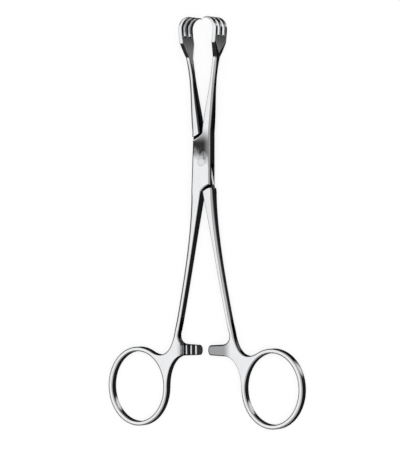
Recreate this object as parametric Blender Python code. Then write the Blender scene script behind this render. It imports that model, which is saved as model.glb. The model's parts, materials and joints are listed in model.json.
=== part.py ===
"""Goitre forceps: two crossed steel halves, a box lock with its rivet, and three-pronged jaws.

Sizes are in metres. X is to the right, Y points at the jaws and Z points up from the table.
The origin is on the rivet's axis, at the lower face of the lock. Both halves are drawn by the
same functions with the handle at +X and the jaw at -X, and the box half is then mirrored.
Heights are measured from the middle plane of the steel, and meshes are lifted at the end.
"""

import math

import bmesh
import bpy
from mathutils import Vector
from mathutils.geometry import tessellate_polygon

# Box lock
LOCK_THICK = 0.0058
MOUTH_X = 0.0047
MOUTH_Y = 0.0110
CROTCH_Y = 0.0142
TONGUE_THICK = 0.0018
SLOT_CLEAR = 0.00025
HUB_RADIUS = 0.0032
SIDE_CLEAR = 0.0003
TONGUE_PROUD = 0.0005
SHOULDER_GAP = 0.0014
OPENING_ANGLE = 26.0
MOUTH_PULLS = ((0.36, 0.06), (0.75, 0.58))

# Rivet
PIN_RADIUS = 0.00125
PIN_HEAD_RADIUS = 0.0018
PIN_HEAD_DEPTH = 0.0007
PIN_FIT = 0.0001

# Upper shanks and jaws
JAW_ROOT_X = 0.0028
JAW_ROOT_SLOPE = 0.12
JAW_ROOT_WIDTH = 0.0044
JAW_NECK_WIDTH = 0.0023
JAW_NECK_THICK = 0.0034
JAW_NECK_Y = 0.0430
WRIST_SWELL = 1.2
PALM_Y = 0.0507
PALM_X = 0.0075
PALM_SLOPE = 0.16
FAN_SLOPE = 0.19
PALM_THICK = 0.0021
FAN_LENGTH = 0.0070
HOOK_Y = 0.0644
HOOK_X = 0.0095
HOOK_SLOPE = 0.04
HOOK_REACH = 0.0049
HOOK_RISE = 0.00555
HOOK_ANGLE = 111.0
TINE_COUNT = 3
TINE_WIDTH = 0.0021
TINE_PITCH = 0.00464
TINE_THICK = 0.00185
TINE_POINT = 0.0003
TINE_CORNER = 0.32
TINE_INSET = 0.00004
SLOT_FLOOR_Y = 0.0604
TIP_GAP = 0.0009

# Lower shanks
HANDLE_ROOT_X = 0.00325
HANDLE_ROOT_SLOPE = 0.117
HANDLE_END_SLOPE = 0.21
HANDLE_ROOT_WIDTH = 0.0053
HANDLE_WIDTH = 0.0024
HANDLE_END_X = 0.0148
HANDLE_END_Y = -0.0810
HANDLE_THICK = 0.0042

# Finger rings
RING_X = 0.0370
RING_DROP = 0.0279
RING_OPEN_X = 0.0144
RING_OPEN_Y = 0.0171
RING_LIMB = 0.0022
RING_INNER_LIMB = 0.0020
RING_TOP_ANGLE = 117.0
VALLEY_DEPTH = 0.0088
VALLEY_START = 0.0035
VALLEY_PULL = 0.0065

# Ratchet arms
ARM_DROP = 0.0098
ARM_ROOT_HEIGHT = 0.0056
ARM_TIP_HEIGHT = 0.0049
ARM_STEP = 0.0008
BOX_ARM_TIP_X = 0.0022
TONGUE_ARM_TIP_X = 0.0024
TOOTH_COUNT = 3
TOOTH_PITCH = 0.0026
TOOTH_DEPTH = 0.0008
TOOTH_FLAT = 0.0005
TOOTH_DROP = 0.0002
TOOTH_LEAD = 0.0030
TOOTH_TAIL = 0.0020
CREST_CLEAR = 0.00013

# Rounding of the rim: how far it eats into the plan, and how far down the side
CROWNED = (0.0014, 0.0017)
FLAT = (0.0005, 0.0006)
LOCK_RIM = (0.0008, 0.0011)
RING_RIM = (0.00095, 0.00135)
JAW_RIM = (0.0003, 0.0003)
RIM_STEPS = 3
SLOPE_STEP = 0.0001
FLANK_LEFT = 0.00015
MITRE_LIMIT = 0.6
REACH = 0.012

HALF_LOCK = LOCK_THICK / 2
LOWER_FACE = Vector((0.0, 0.0, HALF_LOCK))
TINE_SLOT = TINE_PITCH - TINE_WIDTH
PALM_TOP_Y = SLOT_FLOOR_Y + TINE_SLOT / 2
PALM_WIDTH = TINE_PITCH * (TINE_COUNT - 1) + TINE_WIDTH
RING_Y = HANDLE_END_Y - RING_DROP
ARM_Y = HANDLE_END_Y - ARM_DROP


# Curves

def mix(start, end, share):
    return start + (end - start) * share


def ease(share):
    share = min(max(share, 0.0), 1.0)
    return share * share * (3 - 2 * share)


def glide(share, start, start_slope, end, end_slope, span):
    """A cubic from start to end that leaves and arrives with the given slopes."""
    square, cube = share ** 2, share ** 3
    return ((2 * cube - 3 * square + 1) * start + (cube - 2 * square + share) * span * start_slope
            + (3 * square - 2 * cube) * end + (cube - square) * span * end_slope)


def bezier(start, pull_start, pull_end, end, count):
    """Points along a cubic curve, with both ends."""
    points = []
    for step in range(count + 1):
        t = step / count
        s = 1 - t
        points.append(tuple(s ** 3 * a + 3 * s * s * t * b + 3 * s * t * t * c + t ** 3 * d
                            for a, b, c, d in zip(start, pull_start, pull_end, end)))
    return points


def ellipse(centre, radii, start, end, count):
    """Points along part of an ellipse, with both ends, from start to end in degrees."""
    points = []
    for step in range(count + 1):
        angle = math.radians(mix(start, end, step / count))
        points.append((centre[0] + radii[0] * math.cos(angle), centre[1] + radii[1] * math.sin(angle)))
    return points


def stations(start, end, count):
    return [mix(start, end, step / count) for step in range(count + 1)]


# The run of one half, as distances from the middle of the instrument

def jaw_x(y):
    if y < PALM_Y:
        share = (y - CROTCH_Y) / (PALM_Y - CROTCH_Y)
        return glide(share, JAW_ROOT_X, JAW_ROOT_SLOPE, PALM_X, PALM_SLOPE, PALM_Y - CROTCH_Y)
    share = (y - PALM_Y) / (HOOK_Y - PALM_Y)
    return glide(share, PALM_X, FAN_SLOPE, HOOK_X, HOOK_SLOPE, HOOK_Y - PALM_Y)


def jaw_width(y):
    if y < PALM_Y:
        neck = mix(JAW_ROOT_WIDTH, JAW_NECK_WIDTH, ease((y - CROTCH_Y) / (JAW_NECK_Y - CROTCH_Y)))
        return mix(neck, PALM_THICK, ease((y - JAW_NECK_Y) / (PALM_Y - JAW_NECK_Y)))
    return mix(PALM_THICK, TINE_THICK + TINE_INSET, (y - PALM_Y) / (PALM_TOP_Y - PALM_Y))


def handle_x(y):
    share = (y + CROTCH_Y) / (HANDLE_END_Y + CROTCH_Y)
    return glide(share, HANDLE_ROOT_X, HANDLE_ROOT_SLOPE, HANDLE_END_X, HANDLE_END_SLOPE,
                 -CROTCH_Y - HANDLE_END_Y)


def handle_width(y):
    share = (y + CROTCH_Y) / (HANDLE_END_Y + CROTCH_Y)
    return mix(HANDLE_WIDTH, HANDLE_ROOT_WIDTH, (1 - share) ** 4)


def thickness(y):
    """Height of the steel at a place along the instrument."""
    if y >= PALM_Y:
        return mix(JAW_NECK_THICK * WRIST_SWELL, PALM_WIDTH, min((y - PALM_Y) / FAN_LENGTH, 1.0))
    if y >= CROTCH_Y:
        neck = mix(LOCK_THICK, JAW_NECK_THICK, ease((y - CROTCH_Y) / (JAW_NECK_Y - CROTCH_Y)))
        return neck * mix(1.0, WRIST_SWELL, ease((y - JAW_NECK_Y) / (PALM_Y - JAW_NECK_Y)))
    if y > -CROTCH_Y:
        return LOCK_THICK
    share = min((y + CROTCH_Y) / (HANDLE_END_Y + CROTCH_Y), 1.0)
    return mix(HANDLE_THICK, LOCK_THICK, (1 - share) ** 3)


# Stretches of the outline of one half, walked with the steel on the left

def rimmed(points, rim):
    return [(x, y, rim[0], rim[1]) for x, y in points]


def jaw_side(side):
    """One long side of the upper shank and palm: side is -1 outside and +1 inside."""
    fan_end = PALM_Y + FAN_LENGTH
    shank = [(-jaw_x(y) + side * jaw_width(y) / 2, y) for y in stations(CROTCH_Y, PALM_Y, 7)[:-1]]
    palm = [(-jaw_x(y) + side * jaw_width(y) / 2, y)
            for y in stations(PALM_Y, fan_end, 2) + [mix(fan_end, PALM_TOP_Y, 0.4), PALM_TOP_Y]]
    shank_rim = CROWNED if side < 0 else FLAT
    return rimmed(shank, shank_rim) + rimmed(palm, JAW_RIM)


def handle_side(side):
    """One long side of the lower shank: side is -1 inside and +1 outside."""
    points = [(handle_x(y) + side * handle_width(y) / 2, y)
              for y in stations(-CROTCH_Y, HANDLE_END_Y, 9)]
    return rimmed(points, CROWNED if side > 0 else FLAT)


def arm_outline(tip_x):
    """From the inner side of the shank round the ratchet arm, up to where it meets the ring."""
    inner_x = handle_x(HANDLE_END_Y) - HANDLE_WIDTH / 2
    root_top = ARM_Y + ARM_ROOT_HEIGHT / 2
    root_bottom = ARM_Y - ARM_ROOT_HEIGHT / 2
    corner = HANDLE_END_Y - root_top
    tip_half = ARM_TIP_HEIGHT / 2
    fillet = bezier((inner_x, HANDLE_END_Y), (inner_x + 0.20 * corner, root_top + 0.40 * corner),
                    (inner_x - 0.05 * corner, root_top), (inner_x - 0.55 * corner, root_top), 6)
    nose = ellipse((tip_x + 0.55 * tip_half, ARM_Y), (0.55 * tip_half, tip_half), 90, 270, 8)
    heel_x = inner_x - 0.30 * corner
    ring_side = RING_X - RING_OPEN_X - RING_INNER_LIMB
    sweep_y = RING_Y - root_bottom
    under = bezier((heel_x, root_bottom), (mix(heel_x, ring_side, 0.55), root_bottom),
                   (ring_side, root_bottom + 0.42 * sweep_y), (ring_side, RING_Y), 10)
    return rimmed(fillet[1:], FLAT) + rimmed(nose, FLAT) + rimmed(under, FLAT)


def ring_outline():
    """Round the outside of the ring and up the valley beside the shank."""
    centre = (RING_X, RING_Y)
    outer = (RING_OPEN_X + RING_LIMB, RING_OPEN_Y + RING_LIMB)
    inner = (RING_OPEN_X + RING_INNER_LIMB, outer[1])
    low = ellipse(centre, inner, 180, 270, 8)
    high = ellipse(centre, outer, 270, 360 + RING_TOP_ANGLE, 20)
    start = high[-1]
    slope = math.radians(RING_TOP_ANGLE)
    along = Vector((-outer[0] * math.sin(slope), outer[1] * math.cos(slope))).normalized()
    shank = (handle_x(HANDLE_END_Y) + HANDLE_WIDTH / 2 + HANDLE_END_SLOPE * VALLEY_START,
             HANDLE_END_Y - VALLEY_START)
    valley = bezier(start, (start[0] + VALLEY_PULL * along.x, start[1] + VALLEY_PULL * along.y),
                    (shank[0] + 0.22 * VALLEY_DEPTH, shank[1] - VALLEY_DEPTH), shank, 12)
    return rimmed(low[1:] + high[1:] + valley[1:], RING_RIM)


def mouth(from_jaw):
    """The curved end of the lock's walls, from its side to the crotch beside a shank."""
    if from_jaw:
        crotch = (-jaw_x(CROTCH_Y) + jaw_width(CROTCH_Y) / 2, CROTCH_Y)
        side = (MOUTH_X, MOUTH_Y)
    else:
        crotch = (handle_x(-CROTCH_Y) - handle_width(-CROTCH_Y) / 2, -CROTCH_Y)
        side = (-MOUTH_X, -MOUTH_Y)
    pulls = [(mix(side[0], crotch[0], across), mix(side[1], crotch[1], along))
             for across, along in MOUTH_PULLS]
    return bezier(side, pulls[0], pulls[1], crotch, 6)


def tangent_angle(point, side):
    """Direction from the pin to where a line from the point touches the hub."""
    distance = math.hypot(*point)
    return math.atan2(point[1], point[0]) + side * math.acos(HUB_RADIUS / distance)


def tongue_corners():
    """The two corners of the tongue that stand a little proud of the lock's sides."""
    across, along = MOUTH_X + TONGUE_PROUD, MOUTH_Y - SHOULDER_GAP / 2
    return (-across, along), (across, -along)


def tongue_edges():
    """Directions from the pin in which the four edges of the tongue touch its hub."""
    jaw_corner, handle_corner = tongue_corners()
    jaw_inner = (-jaw_x(CROTCH_Y) + jaw_width(CROTCH_Y) / 2, CROTCH_Y)
    handle_inner = (handle_x(-CROTCH_Y) - handle_width(-CROTCH_Y) / 2, -CROTCH_Y)
    return {
        "jaw_outer": tangent_angle(jaw_corner, 1),
        "jaw_inner": tangent_angle(jaw_inner, -1),
        "handle_inner": tangent_angle(handle_inner, -1),
        "handle_outer": tangent_angle(handle_corner, 1),
    }


def on_hub(angle, radius=HUB_RADIUS):
    return (radius * math.cos(angle), radius * math.sin(angle))


def half_outline(kind, tip_x):
    """The whole rim of a half, as (x, y, rim depth, rim drop)."""
    if kind == "box":
        left = rimmed(mouth(False)[:-1], LOCK_RIM)
        right = rimmed(mouth(True)[:-1], LOCK_RIM)
    else:
        edges = tongue_edges()
        jaw_corner, handle_corner = tongue_corners()
        left = [jaw_corner, on_hub(edges["jaw_outer"]), on_hub(edges["handle_inner"])]
        right = [handle_corner, on_hub(edges["handle_outer"]), on_hub(edges["jaw_inner"])]
        left, right = rimmed(left, LOCK_RIM), rimmed(right, LOCK_RIM)
    down = list(reversed(jaw_side(-1))) + left + handle_side(-1)
    foot = arm_outline(tip_x) + ring_outline()
    up = list(reversed(handle_side(1)[:-1])) + right + jaw_side(1)
    return soften(down + foot + up)


def soften(outline):
    """Let the rounding of the rim change gradually from one stretch to the next."""
    capped = [(x, y, depth, min(drop, thickness(y) / 2 - FLANK_LEFT)) for x, y, depth, drop in outline]
    count = len(capped)
    result = []
    for index, (x, y, depth, drop) in enumerate(capped):
        before, after = capped[index - 1], capped[(index + 1) % count]
        result.append((x, y, (before[2] + 2 * depth + after[2]) / 4,
                       (before[3] + 2 * drop + after[3]) / 4))
    return result


def ring_hole():
    points = ellipse((RING_X, RING_Y), (RING_OPEN_X, RING_OPEN_Y), 360, 0, 36)[:-1]
    return soften(rimmed(points, RING_RIM))


# Solids

def into_steel(outline):
    """For each corner, the step that moves both of its edges one unit into the steel."""
    steps = []
    count = len(outline)
    for index in range(count):
        here = Vector(outline[index][:2])
        before = (here - Vector(outline[index - 1][:2])).normalized()
        after = (Vector(outline[(index + 1) % count][:2]) - here).normalized()
        across = Vector((-before.y - after.y, before.x + after.x)).normalized()
        steps.append(across / max(across.dot(Vector((-before.y, before.x))), MITRE_LIMIT))
    return steps


def rim_loops(outline):
    """Loops of corners from the top face, down the rounded rim, to the bottom face."""
    inward = into_steel(outline)
    levels = [(1, 90 - 90 * step / RIM_STEPS) for step in range(RIM_STEPS + 1)]
    levels += [(-1, 90 * step / RIM_STEPS) for step in range(RIM_STEPS + 1)]
    loops = []
    for sign, degrees in levels:
        angle = math.radians(degrees)
        loop = []
        for (x, y, depth, drop), step in zip(outline, inward):
            inset = depth * (1 - math.cos(angle))
            height = thickness(y) / 2 - drop * (1 - math.sin(angle))
            loop.append((x + step.x * inset, y + step.y * inset, sign * height))
        loops.append(loop)
    return loops


def plate(outlines):
    """A closed plate with a rounded rim, from an outer outline and its holes."""
    verts, faces, tops, bottoms = [], [], [], []
    for outline in outlines:
        loops = rim_loops(outline)
        count = len(outline)
        base = len(verts)
        for loop in loops:
            verts.extend(loop)
        for level in range(len(loops) - 1):
            upper, lower = base + level * count, base + (level + 1) * count
            for index in range(count):
                other = (index + 1) % count
                faces.append((upper + index, lower + index, lower + other, upper + other))
        tops.append(range(base, base + count))
        bottoms.append(range(base + (len(loops) - 1) * count, base + len(loops) * count))
    faces += cap(verts, tops, True) + cap(verts, bottoms, False)
    return verts, faces


def cap(verts, loops, upward):
    """Triangles that fill the face between an outer loop and its holes."""
    numbers = [number for loop in loops for number in loop]
    polygons = [[Vector((verts[number][0], verts[number][1], 0.0)) for number in loop] for loop in loops]
    triangles = []
    for corner in tessellate_polygon(polygons):
        a, b, c = (numbers[place] for place in corner)
        turn = ((verts[b][0] - verts[a][0]) * (verts[c][1] - verts[a][1])
                - (verts[b][1] - verts[a][1]) * (verts[c][0] - verts[a][0]))
        triangles.append((a, b, c) if (turn > 0) == upward else (a, c, b))
    return triangles


def prism(outline, axis, low, high):
    """A straight solid on a flat outline, drawn across the given axis from low to high."""
    place = {"x": lambda p, h: (h, p[0], p[1]), "y": lambda p, h: (p[0], h, p[1]),
             "z": lambda p, h: (p[0], p[1], h)}[axis]
    count = len(outline)
    verts = [place(point, low) for point in outline] + [place(point, high) for point in outline]
    faces = [tuple(range(count)), tuple(range(2 * count - 1, count - 1, -1))]
    for index in range(count):
        other = (index + 1) % count
        faces.append((index, other, other + count, index + count))
    return verts, faces


def turned(profile, count):
    """A solid turned about the pin's axis, from (radius, height) points off the axis."""
    verts, faces = [], []
    for radius, height in profile:
        for step in range(count):
            angle = 2 * math.pi * step / count
            verts.append((radius * math.cos(angle), radius * math.sin(angle), height))
    for row in range(len(profile) - 1):
        for step in range(count):
            other = (step + 1) % count
            faces.append((row * count + step, row * count + other,
                          (row + 1) * count + other, (row + 1) * count + step))
    faces.append(tuple(range(count - 1, -1, -1)))
    faces.append(tuple(range((len(profile) - 1) * count, len(profile) * count)))
    return verts, faces


def tine_path():
    """Centre line of a tine, as (point, direction, share of the hook)."""
    start_y = SLOT_FLOOR_Y - TINE_SLOT / 4
    path = []
    for y in stations(start_y, HOOK_Y, 3)[:-1]:
        slope = (jaw_x(y + SLOPE_STEP) - jaw_x(y)) / SLOPE_STEP
        path.append(((-jaw_x(y), y), Vector((-slope, 1.0)).normalized(), 0.0))
    for step in range(11):
        share = step / 10
        angle = math.radians(HOOK_ANGLE * share)
        point = (HOOK_REACH - HOOK_X - HOOK_REACH * math.cos(angle), HOOK_Y + HOOK_RISE * math.sin(angle))
        along = Vector((HOOK_REACH * math.sin(angle), HOOK_RISE * math.cos(angle))).normalized()
        path.append((point, along, share))
    return path


def tine(height):
    """One prong: a rounded bar that bends towards the other jaw and thins to a point."""
    verts, faces = [], []
    section = rounded_corners()
    path = tine_path()
    for point, along, share in path:
        thick = mix(TINE_THICK, TINE_POINT, share ** 1.3)
        wide = mix(TINE_WIDTH - TINE_INSET, TINE_POINT, max(share - 0.45, 0.0) / 0.55)
        for across, up in section:
            verts.append((point[0] - along.y * across * thick / 2, point[1] + along.x * across * thick / 2,
                          height + up * wide / 2))
    count = len(section)
    for row in range(len(path) - 1):
        for step in range(count):
            other = (step + 1) % count
            faces.append((row * count + step, row * count + other,
                          (row + 1) * count + other, (row + 1) * count + step))
    faces.append(tuple(range(count - 1, -1, -1)))
    faces.append(tuple(range((len(path) - 1) * count, len(path) * count)))
    return verts, faces


def rounded_corners():
    """A square of side 2 with rounded corners, as (across, up) points."""
    points = []
    for quarter in range(4):
        turn = math.radians(90 * quarter)
        middle = Vector((math.cos(turn + math.pi / 4), math.sin(turn + math.pi / 4))) * math.sqrt(2)
        for step in (0, 45, 90):
            angle = turn + math.radians(step)
            points.append((middle.x * (1 - TINE_CORNER) + TINE_CORNER * math.cos(angle),
                           middle.y * (1 - TINE_CORNER) + TINE_CORNER * math.sin(angle)))
    return points


def tine_heights():
    return [(index - (TINE_COUNT - 1) / 2) * TINE_PITCH for index in range(TINE_COUNT)]


def slot_floors():
    """Cutters for the round floors between the tines."""
    verts, faces = [], []
    for low, high in zip(tine_heights()[:-1], tine_heights()[1:]):
        circle = ellipse((PALM_TOP_Y, (low + high) / 2), (TINE_SLOT / 2, TINE_SLOT / 2), 0, 360, 20)[:-1]
        more_verts, more_faces = prism(circle, "x", -HOOK_X - REACH / 3, -HOOK_X + REACH / 3)
        faces += [tuple(number + len(verts) for number in face) for face in more_faces]
        verts += more_verts
    return verts, faces


def lock_slot():
    """Cutter for the slot: all that the tongue sweeps, between the two pillars."""
    edges = tongue_edges()
    closing, opening = math.radians(closing_angle()), math.radians(OPENING_ANGLE)
    wall = HUB_RADIUS + SIDE_CLEAR
    far = 2.5 * REACH
    right = pillar(edges["jaw_inner"] - closing, edges["handle_outer"] + opening, wall, far)
    left = pillar(edges["handle_inner"] - closing, edges["jaw_outer"] + opening, wall, far)
    half = TONGUE_THICK / 2 + SLOT_CLEAR
    return prism(right + [(far, -far)] + left + [(-far, far)], "z", -half, half)


def pillar(first, second, wall, far):
    """The edge of a pillar: two straight walls that the tongue meets at its two limits."""
    bend = (second - first) / 2
    corner = on_hub(first + bend, wall / math.cos(bend))
    start = Vector(on_hub(first, wall)) + far * Vector((-math.sin(first), math.cos(first)))
    end = Vector(on_hub(second, wall)) - far * Vector((-math.sin(second), math.cos(second)))
    return [tuple(start), corner, tuple(end)]


def closing_angle():
    """Turn that brings the points of the tines together, but for a small gap."""
    tip = tine_path()[-1][0]
    return math.degrees((2 * abs(tip[0]) - TIP_GAP) / tip[1])


def cheeks(sign):
    """Cutter that thins the crossing of the tongue half on one side."""
    lower = [(-x, y - SHOULDER_GAP) for x, y in mouth(False)]
    upper = [(-x, y + SHOULDER_GAP) for x, y in mouth(True)]
    lower = [(REACH, lower[0][1])] + lower + [(-REACH, lower[-1][1] - REACH / 3)]
    upper = [(-REACH, upper[0][1])] + upper + [(REACH, upper[-1][1] + REACH / 3)]
    low, high = sorted((sign * TONGUE_THICK / 2, sign * LOCK_THICK))
    return prism(lower + upper, "z", low, high)


def ratchet(tip_x, upward):
    """Cutter that halves the arm's height and leaves three saw teeth on the cut face."""
    sign = 1 if upward else -1
    crest, root = -CREST_CLEAR, -CREST_CLEAR - TOOTH_DEPTH
    step_x = handle_x(HANDLE_END_Y) - HANDLE_WIDTH / 2 - ARM_STEP
    run = TOOTH_PITCH * (TOOTH_COUNT - 1)
    outside = tip_x - TOOTH_PITCH / 2
    profile = [(outside, mix(crest, root, 1.4))]
    x = min(tip_x + TOOTH_LEAD, step_x - TOOTH_TAIL - run)
    for _ in range(TOOTH_COUNT):
        profile += [(x, crest), (x + TOOTH_FLAT, crest), (x + TOOTH_FLAT + TOOTH_DROP, root)]
        x += TOOTH_PITCH
    profile += [(step_x - ARM_STEP, root), (step_x - 0.3 * ARM_STEP, root + 0.3 * ARM_STEP),
                (step_x, root + ARM_STEP), (step_x, HANDLE_THICK), (outside, HANDLE_THICK)]
    profile = [(px, sign * pz) for px, pz in profile]
    return prism(profile, "y", ARM_Y - ARM_ROOT_HEIGHT, ARM_Y + ARM_ROOT_HEIGHT)


def pin_profile(extra):
    """Half section of the rivet, with its countersunk heads, grown by a clearance."""
    shaft, head = PIN_RADIUS + extra, PIN_HEAD_RADIUS + extra
    flare = HALF_LOCK - PIN_HEAD_DEPTH
    return [(head, -HALF_LOCK), (shaft, -flare), (shaft, flare), (head, HALF_LOCK)]


def pin_hole(fit):
    profile = pin_profile(fit)
    low, high = profile[0], profile[-1]
    return turned([(low[0], low[1] - REACH)] + profile + [(high[0], high[1] + REACH)], 32)


# Objects

def clear_scene():
    for old in list(bpy.data.objects):
        bpy.data.objects.remove(old, do_unlink=True)


def steel(name, colour, roughness):
    material = bpy.data.materials.new(name)
    material.use_nodes = True
    shader = material.node_tree.nodes["Principled BSDF"]
    shader.inputs["Base Color"].default_value = (*colour, 1.0)
    shader.inputs["Metallic"].default_value = 1.0
    shader.inputs["Roughness"].default_value = roughness
    return material


def make(name, solid, material=None, mirror=False):
    """An object from vertices and faces, lifted so that the lock's lower face is at zero."""
    verts, faces = solid
    flip = -1 if mirror else 1
    mesh = bpy.data.meshes.new(name)
    mesh.from_pydata([Vector((flip * x, y, z)) + LOWER_FACE for x, y, z in verts], [], faces)
    tool = bmesh.new()
    tool.from_mesh(mesh)
    bmesh.ops.recalc_face_normals(tool, faces=tool.faces)
    tool.to_mesh(mesh)
    tool.free()
    mesh.shade_smooth()
    mesh.set_sharp_from_angle(angle=math.radians(35))
    piece = bpy.data.objects.new(name, mesh)
    bpy.context.scene.collection.objects.link(piece)
    if material:
        mesh.materials.append(material)
    else:
        piece.hide_render = True
        piece.display_type = "WIRE"
    return piece


def combine(piece, tool, operation):
    change = piece.modifiers.new(tool.name, "BOOLEAN")
    change.operation = operation
    change.solver = "EXACT"
    change.object = tool


def build_half(name, kind, tip_x, mirror, material):
    upward = kind == "box"
    body = make(name, plate([half_outline(kind, tip_x), ring_hole()]), material, mirror)
    combine(body, make(name + "_slot_floors", slot_floors(), None, mirror), "DIFFERENCE")
    for number, height in enumerate(tine_heights(), start=1):
        combine(body, make(f"{name}_tine_{number}", tine(height), None, mirror), "UNION")
    combine(body, make(name + "_ratchet", ratchet(tip_x, upward), None, mirror), "DIFFERENCE")
    return body


def main():
    clear_scene()
    box_steel = steel("box_half_steel", (0.62, 0.63, 0.64), 0.22)
    tongue_steel = steel("tongue_half_steel", (0.60, 0.61, 0.63), 0.22)
    pin_steel = steel("lock_pin_steel", (0.64, 0.64, 0.65), 0.18)

    box = build_half("box_half", "box", BOX_ARM_TIP_X, True, box_steel)
    combine(box, make("slot_cutter", lock_slot()), "DIFFERENCE")
    combine(box, make("box_hole_cutter", pin_hole(PIN_FIT)), "DIFFERENCE")

    tongue = build_half("tongue_half", "tongue", TONGUE_ARM_TIP_X, False, tongue_steel)
    for label, sign in (("front", 1), ("back", -1)):
        combine(tongue, make(label + "_cheek_cutter", cheeks(sign)), "DIFFERENCE")
    combine(tongue, make("tongue_hole_cutter", pin_hole(1.5 * PIN_FIT)), "DIFFERENCE")

    make("lock_pin", turned(pin_profile(0.0), 32), pin_steel)


main()
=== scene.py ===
# %% [markdown]
# # Goitre forceps
# These forceps are two forged halves of stainless steel that cross in a box lock: one half
# is a box with a slot through it, and the other passes through that slot as a thin tongue.
# A rivet holds them together. At the far end each half opens into a fan of hooked prongs,
# and at the near end it carries a finger ring and one arm of a ratchet. This notebook
# builds the fine, polished version of each half around the engineering model, which arrives
# already packed as the frame. The frame says where everything is and how it moves, so the
# first step is to load it and to remember its box.

# %% Load the frame
import json
import math

import bmesh
import bpy
from mathutils import Matrix, Vector
from mathutils.geometry import tessellate_polygon


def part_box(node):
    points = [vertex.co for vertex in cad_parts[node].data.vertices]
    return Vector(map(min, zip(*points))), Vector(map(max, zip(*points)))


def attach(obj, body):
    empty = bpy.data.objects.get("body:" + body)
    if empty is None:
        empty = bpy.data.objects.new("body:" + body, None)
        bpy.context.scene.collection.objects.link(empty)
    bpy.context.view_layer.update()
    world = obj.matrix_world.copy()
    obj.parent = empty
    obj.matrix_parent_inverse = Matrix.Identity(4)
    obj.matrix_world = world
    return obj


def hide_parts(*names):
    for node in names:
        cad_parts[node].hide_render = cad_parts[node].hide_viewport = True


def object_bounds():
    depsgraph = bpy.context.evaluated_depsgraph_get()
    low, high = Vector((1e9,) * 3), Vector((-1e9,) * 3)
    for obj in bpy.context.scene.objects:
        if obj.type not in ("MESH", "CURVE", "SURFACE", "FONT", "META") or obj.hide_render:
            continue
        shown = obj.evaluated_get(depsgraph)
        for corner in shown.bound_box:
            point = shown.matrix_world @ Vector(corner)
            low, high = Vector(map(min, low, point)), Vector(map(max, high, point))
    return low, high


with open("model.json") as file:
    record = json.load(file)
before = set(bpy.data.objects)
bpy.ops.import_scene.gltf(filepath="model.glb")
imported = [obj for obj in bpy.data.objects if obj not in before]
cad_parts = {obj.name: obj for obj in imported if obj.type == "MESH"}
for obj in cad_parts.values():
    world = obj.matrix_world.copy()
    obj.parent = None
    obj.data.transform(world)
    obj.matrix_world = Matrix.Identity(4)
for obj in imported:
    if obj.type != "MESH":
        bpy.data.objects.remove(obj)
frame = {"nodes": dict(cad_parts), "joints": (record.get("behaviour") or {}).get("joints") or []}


def plain(box):
    """A box as plain lists of numbers, so that it can be written to a file."""
    return [[float(number) for number in corner] for corner in box]


cad_box = plain(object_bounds())
print("frame:", sorted(frame["nodes"]), "box in mm:",
      [[round(number * 1000, 1) for number in corner] for corner in cad_box])

# %% [markdown]
# ## The measures of the forging
# A toolmaker draws one half and forges both halves from it, one turned over. We do the same.
# All lengths are in millimetres, and the finished meshes are scaled to metres in one place.
# X runs across the instrument from its middle line, Y points at the prongs, and heights are
# counted from the middle plane. What the frame knows, such as the lock's thickness, is read
# from it.

# %% Sizes
TO_METRES = 0.001
pin_low, pin_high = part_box("lock_pin")
LOCK_THICK = (pin_high.z - pin_low.z) / TO_METRES
HALF_LOCK = LOCK_THICK / 2
PIN_HEAD_RADIUS = (pin_high.x - pin_low.x) / 2 / TO_METRES
PIN_RADIUS, PIN_HEAD_DEPTH, PIN_FIT = 1.25, 0.7, 0.03

MOUTH_X, MOUTH_Y, CROTCH_Y = 4.7, 11.0, 14.2
MOUTH_PULLS = ((0.36, 0.06), (0.75, 0.58))
TONGUE_THICK, SLOT_CLEAR = 1.8, 0.25
HUB_RADIUS, SIDE_CLEAR = 3.2, 0.3
TONGUE_PROUD, SHOULDER_GAP = 0.5, 1.4

JAW_ROOT_X, JAW_ROOT_SLOPE, JAW_ROOT_WIDTH = 2.8, 0.12, 4.4
JAW_NECK_Y, JAW_NECK_WIDTH, JAW_NECK_THICK = 43.0, 2.3, 3.4
WRIST_SWELL = 1.2
PALM_Y, PALM_X, PALM_THICK, PALM_SLOPE = 50.7, 7.5, 2.1, 0.16
FAN_LENGTH, FAN_SLOPE = 7.0, 0.19
HOOK_Y, HOOK_X, HOOK_SLOPE = 64.4, 9.5, 0.04
HOOK_REACH, HOOK_RISE, HOOK_ANGLE = 4.9, 5.55, 111.0
TINE_COUNT, TINE_PITCH, TINE_WIDTH, TINE_THICK = 3, 4.64, 2.1, 1.85
TINE_POINT, TINE_INSET, SLOT_FLOOR_Y = 0.3, 0.04, 60.4

HANDLE_ROOT_X, HANDLE_ROOT_SLOPE, HANDLE_ROOT_WIDTH = 3.25, 0.117, 5.3
HANDLE_END_X, HANDLE_END_Y, HANDLE_END_SLOPE = 14.8, -81.0, 0.21
HANDLE_WIDTH, HANDLE_THICK = 2.4, 4.2

RING_X, RING_Y = 37.0, HANDLE_END_Y - 27.9
RING_OPEN_X, RING_OPEN_Y = 14.4, 17.1
RING_LIMB, RING_INNER_LIMB = 2.2, 2.0
RING_TOP_ANGLE = 117.0
VALLEY_DEPTH, VALLEY_START, VALLEY_PULL = 8.8, 3.5, 6.5

ARM_Y = HANDLE_END_Y - 9.8
ARM_ROOT_HEIGHT, ARM_TIP_HEIGHT, ARM_STEP = 5.6, 4.9, 0.8
BOX_ARM_TIP_X, TONGUE_ARM_TIP_X = 2.2, 2.4
TOOTH_COUNT, TOOTH_PITCH, TOOTH_DEPTH = 3, 2.6, 0.8
TOOTH_FLAT, TOOTH_DROP, TOOTH_LEAD, TOOTH_TAIL = 0.5, 0.2, 3.0, 2.0
CREST_CLEAR, NOSE_CUT = 0.13, 1.4

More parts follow.
